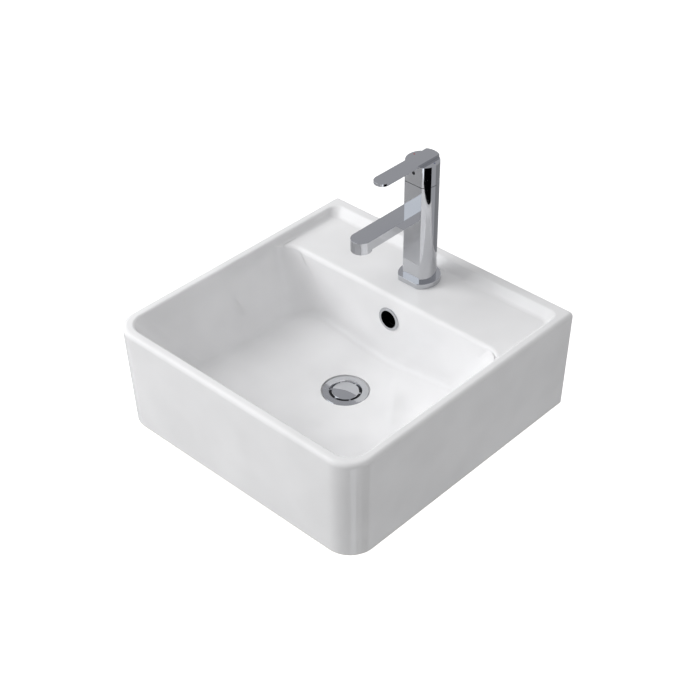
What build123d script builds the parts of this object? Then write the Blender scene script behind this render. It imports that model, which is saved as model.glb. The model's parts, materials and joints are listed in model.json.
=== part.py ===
from build123d import *
import os
from math import cos, radians, sin, sqrt, tan

os.makedirs("parts", exist_ok=True)

# All sizes are in millimetres. X runs along the wall, +Y points into the wall, +Z is up.
# The origin lies on the basin's back face, midway between its two wall-fixing holes.

# Basin casting, outside
basin_width = 420.0
basin_depth = 420.0
basin_height = 150.0
fixing_height = 95.0            # wall-fixing holes above the bottom edge
side_lean = 4.9                 # how far the sides and the front draw in at the bottom edge
front_corner_radius = 37.0
back_corner_radius = 2.5
rim_outer_radius = 6.0
apron_wall = 12.0
back_wall = 14.0

# Rim, tap deck and bowl
rim_width = 13.5                # sides and front, from the outer edge to the inner slope
back_rim_width = 14.0
rim_inner_radius = 4.0
deck_drop = 11.7                # rim down to the tap deck
deck_thickness = 11.0
deck_cove_radius = 8.0
deck_corner_radius = 14.0
deck_back_slope = 12.0          # how far the deck's back edge lies in front of the rim's
bowl_wall_lean = 23.2           # degrees from upright
bowl_back_setback = 120.0       # wall to the bowl's back wall, at deck level
bowl_back_lean = 1.5            # degrees from upright
bowl_top_corner_radius = 26.0
bowl_bottom_corner_radius = 60.0
arris_radius = 7.0              # rounding between the deck and the bowl's back wall
arris_turn = 55.0               # degrees that this rounding follows each corner
floor_drop = 121.4              # rim down to the floor's lowest point
floor_side_fall = 7.4           # degrees, from the sides to the middle
floor_end_fall = 4.6            # degrees, from front and back to the waste
floor_side_valley_radius = 300.0
floor_end_valley_radius = 400.0
floor_crease_radius = 12.0
shell_thickness = 9.0

# Overflow hole and the hollow channel that leads it to the waste
overflow_drop = 48.9            # rim down to the overflow's centre
overflow_hole_radius = 14.0
channel_width = 44.0
channel_gap = 12.0
channel_wall = 8.0
channel_headroom = 2.0          # above the overflow hole
floor_channel_height = 10.0
waste_seat_thickness = 8.0      # clay above and below the floor channel at the waste

# Fixing and tap holes
wall_hole_spacing = 280.0
wall_hole_radius = 7.0
tap_setback = 60.5              # wall to the tap's axis
tap_hole_radius = 17.5

# Waste
waste_setback = 206.4           # wall to the waste's axis
waste_recess_radius = 33.0
waste_recess_depth = 2.0
waste_hole_radius = 24.0
waste_boss_wall = 12.0
flange_radius = 31.5
flange_thickness = 1.8
flange_bevel = 0.8
flange_mouth_radius = 22.3
waste_fit = 0.5                 # collar in the waste hole
waste_collar_depth = 7.5
waste_collar_taper = 3.0
waste_tail_radius = 20.95       # G 1 1/4 thread, outside
waste_tail_bore = 18.6
waste_funnel_depth = 6.5
waste_length = 75.0
waste_outlet_length = 26.0      # free end, which the trap slides over
waste_relief_length = 3.0       # shallow groove between the nut and the free end
waste_relief_depth = 0.6
waste_slot_width = 14.0
waste_slot_count = 4
waste_slot_land = 2.0
tail_clearance = 0.1
hub_radius = 7.0
hub_drop = 24.0                 # flange top down to the hub's top
hub_height = 8.0
hub_spoke_width = 4.0
hub_spoke_count = 3
hub_spoke_turn = 90.0
washer_top_thickness = 1.0
washer_bottom_thickness = 4.0
slip_washer_thickness = 1.5
waste_nut_radius = 30.0
waste_nut_height = 10.0
waste_nut_lugs = 6
waste_nut_lug_height = 2.5
waste_nut_lug_width = 8.0
plug_radius = 18.3
plug_edge_thickness = 2.4
plug_dome_rise = 1.4
plug_bevel = 0.5
plug_boss_radius = 5.6
plug_boss_depth = 7.0
plug_tab_count = 6
plug_tab_width = 2.6
plug_tab_thickness = 1.2
plug_tab_turn = 30.0
plug_tab_gap = 0.4              # between a tab's end and the funnel's mouth
plug_seal_gap = 0.3
plug_seal_thickness = 2.5
plug_stem_radius = 3.4
latch_radius = 5.2
latch_wall_gap = 0.1
latch_height = 30.0
latch_flange_radius = 6.6
latch_flange_height = 2.0
latch_floor = 2.0
stem_fit = 0.1
stem_gap = 0.3
spring_wire_radius = 0.4
spring_turns = 6
spring_height = 9.0
spring_wall_gap = 0.2

# Overflow ring
ring_outer_radius = 16.75
ring_bore_radius = 12.5
ring_proud = 1.5
ring_edge_radius = 0.8
ring_sleeve_length = 8.5
ring_sleeve_clearance = 0.3

# Tap, heights above the deck
tap_radius = 22.5
tap_flat = 17.4                 # axis to the flat front
base_radius = 28.8
base_flat = 24.1
base_height = 7.4
base_bevel = 0.8
seam_height = 152.3             # underside of the turning head
seam_gap = 0.8
head_height = 28.9
lever_half_width = 10.9
lever_thickness = 4.2
lever_reach = 88.0              # axis to the lever's nose
spout_half_width = 13.8
spout_top = 117.9
spout_thickness = 13.7
spout_reach = 129.0             # axis to the spout's nose
nose_drop = 3.7                 # the nose stands this far below the spout's underside
spout_bore_radius = 4.5
spigot_radius = 16.4            # tap's foot in the deck hole
spigot_depth = 6.0              # foot below the deck's top
spigot_clearance = 0.3
spout_root_radius = 5.9
spout_root_length = 6.0
spout_root_fit = 0.1
thread_fit = 0.05
edge_softening = 0.5

# Aerator
aerator_thread_radius = 11.0
aerator_depth = 11.0
aerator_wall = 1.6
aerator_recess = 0.8
aerator_seal_thickness = 1.5
aerator_vane_width = 0.8
aerator_vane_count = 7
aerator_notch_count = 4
aerator_notch_turn = 45.0
aerator_notch_width = 2.5
aerator_notch_depth = 1.2
running_gap = 0.1

# Cartridge
seat_depth = 18.3               # seam down to the cartridge seat in the tap body
cartridge_radius = 12.5
cartridge_fit = 0.2
counterbore_radius = 15.0
counterbore_rise = 10.0         # above the seat
cartridge_inner_radius = 11.0
neck_radius = 10.4
neck_inner_radius = 8.8
neck_rise = 17.0                # above the seat
neck_lip = 1.0                  # holds the turret's flange down
neck_length = 7.2
port_radius = 2.2
port_seal_radius = 3.6
port_seal_thickness = 1.1
port_seal_groove = 0.8
cartridge_base_gap = 0.3
cartridge_base_thickness = 3.7
cartridge_foot_thickness = 1.7
fixed_disc_thickness = 3.0
fixed_disc_radius = 10.8
moving_disc_radius = 8.0
moving_disc_thickness = 3.4
mixing_hollow_radius = 6.0
disc_gap = 0.05
disc_rest_offset = 2.3          # the moving disc stands this far behind the axis when shut
disc_carrier_thickness = 3.5
foot_radius = 2.0
foot_play = 0.4
foot_rise = 3.25                # above the disc carrier's underside
turret_flange_radius = 10.7
turret_flange_thickness = 1.6
turret_gap = 0.2
turret_fit = 0.05
turret_plate_thickness = 3.3
turret_length = 15.0
pivot_setdown = 2.5             # turret's top down to the pivot
turret_slot = 7.0
spindle_width = 6.6
spindle_foot_gap = 1.5          # above the turret's plate
spindle_roof_gap = 1.5
spindle_stem_radius = 1.7
pin_radius = 1.5
pin_clearance = 0.05
pin_length = 16.0
nut_lip_height = 4.1
nut_corner_radius = 14.3        # axis to the hexagon's corners
nut_clearance = 0.3
cover_radius = 15.2
cover_skin = 0.6
cover_knee_rise = 0.9           # above the nut
cover_top_rise = 1.3            # above the neck
cover_top_radius = 12.4

# Handle
head_wall = 2.6
head_flat_wall = 1.6
head_roof = 3.7
socket_size = 11.0
socket_depth = 11.1
socket_clearance = 0.2
grub_rise = 2.5                 # above the socket's lower end
grub_radius = 2.5
grub_length = 6.0
grub_boss_radius = 4.2
grub_key_flats = 1.25
cap_recess = 0.2
cap_thickness = 1.6
lever_edge_radius = 0.4
lift_angle = 20.0
relief_angle = 22.0             # underside cut behind the axis, so that the head can tilt
relief_start = 3.0
index_offset = 17.0
index_setback = 3.1
index_radius = 1.2
index_depth = 0.8

# Fixing under the deck
inlet_offset = 6.8
inlet_advance = 4.5
inlet_radius = 4.5              # M10 x 1 tapping bore
inlet_depth = 14.0
inlet_rise = 12.4               # deck up to the inlets, which stand above the rim
hose_pocket_radius = 5.8
outlet_setback = 6.5
outlet_radius = 3.0
stud_radius = 4.0
stud_setback = 10.0
stud_length = 70.0
stud_depth = 12.0
clamp_radius = 24.0
rubber_thickness = 3.0
plate_thickness = 2.0
clamp_notch_half = 12.7
clamp_notch_back = 3.0          # axis to the back of the notch
clamp_stud_clearance = 0.3
fixing_nut_flats = 6.5          # axis to each flat
fixing_nut_height = 12.0
base_seal_inner = 19.5
base_seal_outer = 25.0
base_seal_flat = 21.5
base_seal_thickness = 1.5
base_seal_groove = 1.2

# Wall-fixing sleeves
sleeve_bore_radius = 5.2        # clears an M10 wall stud
sleeve_clearance = 0.3
sleeve_flange_radius = 15.0
sleeve_flange_thickness = 2.5
wall_washer_radius = 14.0
wall_washer_thickness = 2.0

# Levels and places worked out from the sizes above
bottom_z = -fixing_height
rim_z = bottom_z + basin_height
deck_z = rim_z - deck_drop
deck_under_z = deck_z - deck_thickness
floor_z = rim_z - floor_drop
overflow_z = rim_z - overflow_drop
overcut = 2.0
edge_overlap = 0.5
lean_slope = tan(radians(bowl_wall_lean))
back_slope = tan(radians(bowl_back_lean))
bowl_foot_z = floor_z - 14.0
tap_y = -tap_setback
waste_y = -waste_setback
recess_z = floor_z - waste_recess_depth
flange_top_z = recess_z + washer_top_thickness + flange_thickness
channel_top_z = overflow_z + overflow_hole_radius + channel_headroom
floor_channel_top_z = recess_z - waste_seat_thickness
floor_channel_bottom_z = floor_channel_top_z - floor_channel_height
waste_boss_z = floor_channel_bottom_z - waste_seat_thickness
plug_rim = plug_radius - plug_bevel
plug_dome_radius = (plug_rim**2 + plug_dome_rise**2) / (2 * plug_dome_rise)


def bowl_half_width(z):
    """Half the bowl's width between its leaning side walls at a level."""
    return basin_width / 2 - rim_width - (rim_z - z) * lean_slope


def bowl_front_y(z):
    return -(basin_depth - rim_width) + (rim_z - z) * lean_slope


def bowl_back_y(z):
    return -bowl_back_setback - (deck_z - z) * back_slope


def bowl_corner_radius(z):
    """Corners widen steadily from the rim to the bowl's foot."""
    share = (rim_z - z) / (rim_z - bowl_foot_z)
    return bowl_top_corner_radius + share * (bowl_bottom_corner_radius - bowl_top_corner_radius)


def plan(z, half_width, front_y, back_y, front_radius, back_radius=0.0):
    """A level rectangle with its front corners rounded, and its back ones where a radius is given."""
    with BuildSketch(Plane.XY.offset(z)) as outline:
        with Locations((0, (front_y + back_y) / 2)):
            Rectangle(2 * half_width, back_y - front_y)
        fillet(outline.vertices().group_by(Axis.Y)[0], front_radius)
        if back_radius:
            fillet(outline.vertices().group_by(Axis.Y)[-1], back_radius)
    return outline.sketch


def bowl_plan(z, grow=0.0):
    radius = bowl_corner_radius(z) + grow
    return plan(z, bowl_half_width(z) + grow, bowl_front_y(z) - grow, bowl_back_y(z) + grow, radius, radius)


def flatted_disc(height, radius, flat):
    """The tap's plan at a height above the deck: a circle with its front cut flat."""
    with BuildSketch(Plane((0, tap_y, deck_z + height))) as outline:
        Circle(radius)
        with Locations((0, -flat - radius)):
            Rectangle(4 * radius, 2 * radius, mode=Mode.SUBTRACT)
    return outline.sketch


def tap_plane(height):
    return Plane((0, tap_y, deck_z + height))


def save(piece, name):
    piece.part.label = name
    export_step(piece.part, f"parts/{name}.step")


overflow_plane = Plane(
    (0, bowl_back_y(overflow_z), overflow_z),
    x_dir=(1, 0, 0),
    z_dir=(0, -cos(radians(bowl_back_lean)), sin(radians(bowl_back_lean))),
)

# Floor of the bowl: a shallow valley from side to side, swept along a shallow valley from front to back
end_angle = radians(floor_end_fall)
side_angle = radians(floor_side_fall)
end_run = floor_end_valley_radius * sin(end_angle)
end_rise = floor_end_valley_radius * (1 - cos(end_angle))
side_run = floor_side_valley_radius * sin(side_angle)
side_rise = floor_side_valley_radius * (1 - cos(side_angle))
floor_front_y = -basin_depth - 10.0
floor_back_y = 10.0
block_depth = 80.0


def fall_z(y):
    """Height of the floor's middle line beyond its curved bottom."""
    return floor_z + end_rise + (abs(y - waste_y) - end_run) * tan(end_angle)


floor_half = basin_width / 2 + 20.0
with BuildLine(Plane.YZ) as floor_path:
    Line((floor_front_y, fall_z(floor_front_y)), (waste_y - end_run, floor_z + end_rise))
    ThreePointArc(
        (waste_y - end_run, floor_z + end_rise), (waste_y, floor_z), (waste_y + end_run, floor_z + end_rise)
    )
    Line((waste_y + end_run, floor_z + end_rise), (floor_back_y, fall_z(floor_back_y)))
path_start = floor_path.wires()[0] @ 0
path_heading = floor_path.wires()[0] % 0
with BuildPart() as floor_block:
    with BuildSketch(Plane(path_start, x_dir=(1, 0, 0), z_dir=-path_heading)):
        with BuildLine():
            edge_rise = side_rise + (floor_half - side_run) * tan(side_angle)
            Line((-floor_half, edge_rise), (-side_run, side_rise))
            ThreePointArc((-side_run, side_rise), (0, 0), (side_run, side_rise))
            Line((side_run, side_rise), (floor_half, edge_rise))
            Line((floor_half, edge_rise), (floor_half, -block_depth))
            Line((floor_half, -block_depth), (-floor_half, -block_depth))
            Line((-floor_half, -block_depth), (-floor_half, edge_rise))
        make_face()
    sweep(path=floor_path.wires()[0])

# The bowl's inner space, down to the floor
with BuildPart() as bowl_space:
    loft([bowl_plan(bowl_foot_z), bowl_plan(rim_z + overcut)], ruled=True)
    add(floor_block.part, mode=Mode.SUBTRACT)
    floor_faces = bowl_space.faces().filter_by(lambda face: face.normal_at().Z < -0.9)
    wall_edges = bowl_space.faces().filter_by(lambda face: abs(face.normal_at().Z) < 0.7).edges()
    crease = ShapeList([edge for edge in floor_faces.edges() if edge in wall_edges])
    fillet(crease, floor_crease_radius)

# The space inside the rim, above the tap deck
with BuildPart() as rim_space:
    sections = []
    for level in (deck_z, rim_z + overcut):
        back_y = -back_rim_width - (rim_z - level) * deck_back_slope / deck_drop
        front_radius = bowl_corner_radius(level)
        sections.append(
            plan(level, bowl_half_width(level), bowl_front_y(level), back_y, front_radius, deck_corner_radius)
        )
    loft(sections, ruled=True)
    fillet(rim_space.faces().sort_by(Axis.Z)[0].edges(), deck_cove_radius)

# The bowl's shell seen from below, a wall thickness outside the inner space
with BuildPart() as bowl_shell:
    grow = shell_thickness / cos(radians(bowl_wall_lean))
    loft([bowl_plan(bowl_foot_z, grow), bowl_plan(deck_under_z + overcut, grow)], ruled=True)
    add(floor_block.part.moved(Location((0, 0, -shell_thickness))), mode=Mode.SUBTRACT)


def outer_plan(z):
    """The casting's outline, which draws in towards the bottom at the sides and the front."""
    inset = side_lean * (rim_z - z) / basin_height
    return plan(z, basin_width / 2 - inset, -basin_depth + inset, overcut, front_corner_radius)


def apron_plan(z):
    """The hollow under the casting, inside its apron and back wall."""
    inset = side_lean * (rim_z - z) / basin_height + apron_wall
    front_radius = front_corner_radius - apron_wall
    return plan(z, basin_width / 2 - inset, -basin_depth + inset, -back_wall, front_radius, apron_wall)


with BuildPart() as basin:
    loft([outer_plan(bottom_z), outer_plan(rim_z)], ruled=True)
    split(bisect_by=Plane.XZ)
    rim_edges = basin.faces().sort_by(Axis.Z)[-1].edges().sort_by(Axis.Y)
    fillet(rim_edges[:-1], rim_outer_radius)
    back_outline = basin.faces().sort_by(Axis.Y)[-1].edges().sort_by(Axis.Z)
    fillet(back_outline[1:], back_corner_radius)
    loft([apron_plan(bottom_z - overcut), apron_plan(deck_under_z)], ruled=True, mode=Mode.SUBTRACT)
    add(bowl_shell.part)

    # Clay round the overflow channel, behind the bowl and under its floor, and the boss at the waste
    housing_front_y = bowl_back_y(deck_z) - overcut
    housing_back_y = bowl_back_y(deck_z) + shell_thickness + channel_gap + channel_wall
    housing_half = channel_width / 2 + channel_wall
    with BuildSketch(Plane.XY.offset(waste_boss_z)):
        with Locations((0, (waste_y + housing_back_y) / 2)):
            Rectangle(2 * housing_half, housing_back_y - waste_y)
        with Locations((0, waste_y)):
            Circle(waste_hole_radius + waste_boss_wall)
    extrude(amount=floor_channel_top_z - waste_boss_z + shell_thickness)
    with BuildSketch(Plane.XY.offset(waste_boss_z)):
        with Locations((0, (housing_front_y + housing_back_y) / 2)):
            Rectangle(2 * housing_half, housing_back_y - housing_front_y)
    extrude(amount=channel_top_z + channel_wall - waste_boss_z)
    # The open top: the bowl, and the space above the deck
    add(bowl_space.part, mode=Mode.SUBTRACT)
    add(rim_space.part, mode=Mode.SUBTRACT)
    # Rounded inner edge of the rim
    rim_face = basin.faces().filter_by(Axis.Z).sort_by(Axis.Z)[-1]
    fillet(rim_face.inner_wires()[0].edges(), rim_inner_radius)
    # Rounded front edge of the deck, straight across and round the bowl's two back corners
    arris_y = bowl_back_y(deck_z)
    arris_reach = 3 * arris_radius
    arris_corner = (arris_y, deck_z)
    arris_foot = (arris_y - arris_reach * back_slope, deck_z - arris_reach)
    with BuildSketch(Plane.YZ, mode=Mode.PRIVATE) as rounded_corner:
        Polygon(arris_corner, (arris_y + arris_reach, deck_z), arris_foot, align=None)
        fillet(rounded_corner.vertices().sort_by_distance((arris_y, deck_z, 0))[0], arris_radius)
    with BuildSketch(Plane.YZ, mode=Mode.PRIVATE) as arris_waste:
        Polygon(
            (arris_y - edge_overlap, deck_z + edge_overlap),
            (arris_y + arris_reach, deck_z + edge_overlap),
            (arris_y + arris_reach, deck_z),
            arris_foot,
            (arris_foot[0] - edge_overlap, arris_foot[1]),
            align=None,
        )
        add(rounded_corner.sketch_local, mode=Mode.SUBTRACT)
    corner_radius = bowl_corner_radius(deck_z)
    corner_x = bowl_half_width(deck_z) - corner_radius
    extrude(arris_waste.sketch, amount=corner_x, both=True, mode=Mode.SUBTRACT)
    for side in (-1, 1):
        corner_profile = arris_waste.sketch.moved(Location((side * corner_x, 0, 0)))
        corner_axis = Axis((side * corner_x, arris_y - corner_radius, 0), (0, 0, -side))
        revolve(corner_profile, axis=corner_axis, revolution_arc=arris_turn, mode=Mode.SUBTRACT)
    # Overflow channel: down behind the bowl, then forward under its floor to the waste
    channel_front_y = bowl_back_y(deck_z) + shell_thickness
    channel_back_y = channel_front_y + channel_gap
    with BuildSketch(Plane.XY.offset(floor_channel_bottom_z)):
        with Locations((0, (channel_front_y + channel_back_y) / 2)):
            Rectangle(channel_width, channel_gap)
    extrude(amount=channel_top_z - floor_channel_bottom_z, mode=Mode.SUBTRACT)
    with BuildSketch(Plane.XY.offset(floor_channel_bottom_z)):
        with Locations((0, (waste_y + channel_back_y) / 2)):
            Rectangle(channel_width, channel_back_y - waste_y)
    extrude(amount=floor_channel_height, mode=Mode.SUBTRACT)
    # Overflow hole, square to the bowl's back wall
    with BuildSketch(overflow_plane.offset(overcut)):
        Circle(overflow_hole_radius)
    extrude(amount=-(overcut + shell_thickness + channel_gap / 2), mode=Mode.SUBTRACT)
    # Waste recess and hole
    with BuildSketch(Plane((0, waste_y, recess_z))):
        Circle(waste_recess_radius)
    extrude(amount=floor_crease_radius, mode=Mode.SUBTRACT)
    with BuildSketch(Plane((0, waste_y, waste_boss_z))):
        Circle(waste_hole_radius)
    extrude(amount=recess_z - waste_boss_z, mode=Mode.SUBTRACT)
    # Tap hole and wall-fixing holes
    with BuildSketch(tap_plane(0)):
        Circle(tap_hole_radius)
    extrude(amount=-deck_thickness, mode=Mode.SUBTRACT)
    with BuildSketch(Plane.XZ):
        with GridLocations(wall_hole_spacing, 0, 2, 1):
            Circle(wall_hole_radius)
    extrude(amount=back_wall, mode=Mode.SUBTRACT)
save(basin, "basin")

# Overflow ring, a flange on the bowl's back wall with a sleeve in the hole
with BuildPart() as overflow_ring:
    with BuildSketch(overflow_plane):
        Circle(ring_outer_radius)
    extrude(amount=ring_proud)
    fillet(overflow_ring.faces().sort_by(Axis.Y)[0].edges(), ring_edge_radius)
    with BuildSketch(overflow_plane):
        Circle(overflow_hole_radius - ring_sleeve_clearance)
    extrude(amount=-ring_sleeve_length)
    with BuildSketch(overflow_plane.offset(ring_proud)):
        Circle(ring_bore_radius)
    extrude(amount=-(ring_proud + ring_sleeve_length), mode=Mode.SUBTRACT)
save(overflow_ring, "overflow_ring")


def funnel_radius(depth):
    """Inside of the waste's mouth, at a depth below the flange's top."""
    return flange_mouth_radius - (flange_mouth_radius - waste_tail_bore) * depth / waste_funnel_depth


waste_section = Plane((0, waste_y, flange_top_z), x_dir=(1, 0, 0), z_dir=(0, -1, 0))
waste_axis = Axis((0, waste_y, 0), (0, 0, 1))
hub_top_z = flange_top_z - hub_drop
relief_end = waste_length - waste_outlet_length

# Waste: flange, funnel, slotted tail and the hub that carries the plug
with BuildPart() as waste_body:
    with BuildSketch(waste_section):
        Polygon(
            (flange_mouth_radius, 0),
            (flange_radius - flange_bevel, 0),
            (flange_radius, -flange_bevel),
            (flange_radius, -flange_thickness),
            (waste_hole_radius - waste_fit, -flange_thickness),
            (waste_hole_radius - waste_fit, -waste_collar_depth),
            (waste_tail_radius, -waste_collar_depth - waste_collar_taper),
            (waste_tail_radius, waste_relief_length - relief_end),
            (waste_tail_radius - waste_relief_depth, waste_relief_length - relief_end),
            (waste_tail_radius - waste_relief_depth, -relief_end),
            (waste_tail_radius, -relief_end),
            (waste_tail_radius, -waste_length),
            (waste_tail_bore, -waste_length),
            (waste_tail_bore, -waste_funnel_depth),
            align=None,
        )
    revolve(axis=waste_axis)
    slot_z = (floor_channel_top_z + floor_channel_bottom_z) / 2
    for index in range(waste_slot_count // 2):
        with Locations((0, waste_y, slot_z)):
            Box(
                2 * flange_radius,
                waste_slot_width,
                floor_channel_height - waste_slot_land,
                rotation=(0, 0, 45 + 360 / waste_slot_count * index),
                mode=Mode.SUBTRACT,
            )
    with BuildSketch(Plane((0, waste_y, hub_top_z))):
        Circle(hub_radius)
        spoke_length = (waste_tail_radius + waste_tail_bore) / 2
        with PolarLocations(spoke_length / 2, hub_spoke_count, start_angle=hub_spoke_turn):
            Rectangle(spoke_length, hub_spoke_width)
        Circle(latch_radius + latch_wall_gap, mode=Mode.SUBTRACT)
    extrude(amount=-hub_height)
save(waste_body, "waste_body")


def ring(centre_y, base_z, height, inner, outer):
    """A flat ring on an upright axis."""
    with BuildPart() as band:
        with BuildSketch(Plane((0, centre_y, base_z))):
            Circle(outer)
            Circle(inner, mode=Mode.SUBTRACT)
        extrude(amount=height)
    return band


tail_clear = waste_tail_radius + tail_clearance
bottom_gasket_z = waste_boss_z - washer_bottom_thickness
slip_washer_z = bottom_gasket_z - slip_washer_thickness
waste_nut_z = slip_washer_z - waste_nut_height
waste_top_gasket = ring(
    waste_y, recess_z, washer_top_thickness, waste_hole_radius + waste_fit, flange_radius - flange_bevel
)
save(waste_top_gasket, "waste_top_gasket")
waste_bottom_gasket = ring(
    waste_y, bottom_gasket_z, washer_bottom_thickness, tail_clear + tail_clearance, waste_nut_radius
)
save(waste_bottom_gasket, "waste_bottom_gasket")
waste_slip_washer = ring(waste_y, slip_washer_z, slip_washer_thickness, tail_clear, waste_nut_radius)
save(waste_slip_washer, "waste_slip_washer")

with BuildPart() as waste_nut:
    with BuildSketch(Plane((0, waste_y, waste_nut_z))):
        Circle(waste_nut_radius - waste_nut_lug_height)
        with PolarLocations(waste_nut_radius / 2, waste_nut_lugs):
            Rectangle(waste_nut_radius, waste_nut_lug_width)
        Circle(waste_nut_radius, mode=Mode.INTERSECT)
        Circle(tail_clear, mode=Mode.SUBTRACT)
    extrude(amount=waste_nut_height)
save(waste_nut, "waste_nut")

# Plug, which lifts out of the flange on its stem
with BuildPart() as waste_plug:
    with BuildSketch(waste_section):
        with BuildLine():
            Line((0, -plug_edge_thickness), (plug_radius, -plug_edge_thickness))
            Line((plug_radius, -plug_edge_thickness), (plug_radius, -plug_bevel))
            Line((plug_radius, -plug_bevel), (plug_radius - plug_bevel, 0))
            RadiusArc((plug_radius - plug_bevel, 0), (0, plug_dome_rise), -plug_dome_radius)
            Line((0, plug_dome_rise), (0, -plug_edge_thickness))
        make_face()
    revolve(axis=waste_axis)
    plug_under_z = flange_top_z - plug_edge_thickness
    with BuildSketch(Plane((0, waste_y, plug_under_z))):
        Circle(plug_boss_radius)
    extrude(amount=-plug_boss_depth)
    tab_reach = funnel_radius(plug_edge_thickness) - plug_tab_gap
    with BuildSketch(Plane((0, waste_y, plug_under_z))):
        with PolarLocations(tab_reach / 2, plug_tab_count, start_angle=plug_tab_turn):
            Rectangle(tab_reach, plug_tab_width)
    extrude(amount=plug_tab_thickness)
    with BuildSketch(Plane((0, waste_y, plug_under_z - plug_boss_depth))):
        Circle(plug_stem_radius + latch_wall_gap)
    extrude(amount=plug_boss_depth, mode=Mode.SUBTRACT)
save(waste_plug, "waste_plug")

with BuildPart() as plug_seal:
    with BuildSketch(waste_section):
        seal_top = plug_edge_thickness
        seal_bottom = plug_edge_thickness + plug_seal_thickness
        Polygon(
            (plug_boss_radius + latch_wall_gap, -seal_top),
            (funnel_radius(seal_top) - plug_seal_gap, -seal_top),
            (funnel_radius(seal_bottom) - plug_seal_gap, -seal_bottom),
            (plug_boss_radius + latch_wall_gap, -seal_bottom),
            align=None,
        )
    revolve(axis=waste_axis)
save(plug_seal, "plug_seal")

latch_top_z = hub_top_z + latch_flange_height
latch_bottom_z = latch_top_z - latch_height
spring_base_z = latch_bottom_z + latch_floor
spring_top_z = spring_base_z + spring_height
with BuildPart() as plug_stem:
    with BuildSketch(Plane((0, waste_y, spring_top_z + stem_gap))):
        Circle(plug_stem_radius)
    extrude(amount=plug_under_z - spring_top_z - stem_gap)
save(plug_stem, "plug_stem")

with BuildPart() as plug_latch:
    with BuildSketch(Plane((0, waste_y, latch_bottom_z))):
        Circle(latch_radius)
    extrude(amount=latch_height)
    with BuildSketch(Plane((0, waste_y, hub_top_z))):
        Circle(latch_flange_radius)
    extrude(amount=latch_flange_height)
    with BuildSketch(Plane((0, waste_y, spring_base_z))):
        Circle(plug_stem_radius + stem_fit)
    extrude(amount=latch_height - latch_floor, mode=Mode.SUBTRACT)
save(plug_latch, "plug_latch")

coil_radius = plug_stem_radius + stem_fit - spring_wire_radius - spring_wall_gap
coil_height = spring_height - 2 * spring_wire_radius
with BuildPart() as latch_spring:
    with BuildLine(Plane((0, waste_y, spring_base_z + spring_wire_radius))) as coil:
        Helix(pitch=coil_height / spring_turns, height=coil_height, radius=coil_radius)
    coil_edge = coil.edges()[0]
    with BuildSketch(Plane(coil_edge @ 0, z_dir=coil_edge % 0)):
        Circle(spring_wire_radius)
    sweep(path=coil_edge)
save(latch_spring, "latch_spring")

port_places = [(-inlet_offset, -inlet_advance), (inlet_offset, -inlet_advance), (0, outlet_setback)]
spout_axis_height = spout_top - spout_thickness / 2
spout_under = spout_top - spout_thickness
nose_under = spout_under - nose_drop
nose_y = tap_y - spout_reach + spout_half_width
body_top = seam_height - seam_gap
base_lift = base_seal_thickness - base_seal_groove
head_top = seam_height + head_height
roof_height = head_top - head_roof
socket_base = roof_height - socket_depth
grub_height = socket_base + grub_rise
seat_height = seam_height - seat_depth
counterbore_height = seat_height + counterbore_rise
base_under = seat_height + cartridge_base_gap
disc_level = base_under + cartridge_base_thickness
moving_level = disc_level + fixed_disc_thickness + disc_gap
carrier_level = moving_level + moving_disc_thickness
foot_height = carrier_level + foot_rise
neck_base = seat_height + neck_rise
neck_top = neck_base + neck_length
shell_lip = neck_base - neck_lip
turret_flange_base = shell_lip - turret_gap - turret_flange_thickness
turret_plate_top = turret_flange_base + turret_plate_thickness
turret_top = turret_flange_base + turret_length
pivot_height = turret_top - pivot_setdown
foot_arm = pivot_height - foot_height
spindle_shoulder = turret_plate_top + spindle_foot_gap
spindle_top = roof_height - spindle_roof_gap
nut_base = counterbore_height + cartridge_fit
nut_top = neck_base + nut_lip_height
cover_knee = nut_top + cover_knee_rise
cover_top = neck_top + cover_top_rise


def front_plane(distance, height):
    """Upright plane across the tap's front, facing the user, at a distance from its axis."""
    return Plane((0, tap_y - distance, deck_z + height), x_dir=(1, 0, 0), z_dir=(0, -1, 0))


def round_plate(height, thickness, radius, centre_y=tap_y, bore=0.0):
    """A level disc, or a ring where a bore is given."""
    with BuildPart() as plate:
        with BuildSketch(Plane((0, centre_y, deck_z + height))):
            Circle(radius)
            if bore:
                Circle(bore, mode=Mode.SUBTRACT)
        extrude(amount=thickness)
    return plate


# Base ring under the tap, with a groove for its seal
with BuildPart() as tap_base_ring:
    extrude(flatted_disc(base_lift, base_radius, base_flat), amount=base_height - base_lift)
    fillet(tap_base_ring.faces().sort_by(Axis.Z)[-1].edges(), base_bevel)
    seal_groove = flatted_disc(base_lift, base_seal_outer, base_seal_flat)
    extrude(seal_groove, amount=base_seal_groove, mode=Mode.SUBTRACT)
    with BuildSketch(tap_plane(base_lift)):
        Circle(base_seal_inner)
    extrude(amount=base_seal_groove)
    with BuildSketch(tap_plane(base_lift)):
        Circle(spigot_radius + spigot_clearance)
    extrude(amount=base_height, mode=Mode.SUBTRACT)
save(tap_base_ring, "tap_base_ring")

with BuildPart() as tap_base_seal:
    extrude(flatted_disc(0, base_seal_outer, base_seal_flat), amount=base_seal_thickness)
    with BuildSketch(tap_plane(0)):
        Circle(base_seal_inner)
    extrude(amount=base_seal_thickness, mode=Mode.SUBTRACT)
save(tap_base_seal, "tap_base_seal")

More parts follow.
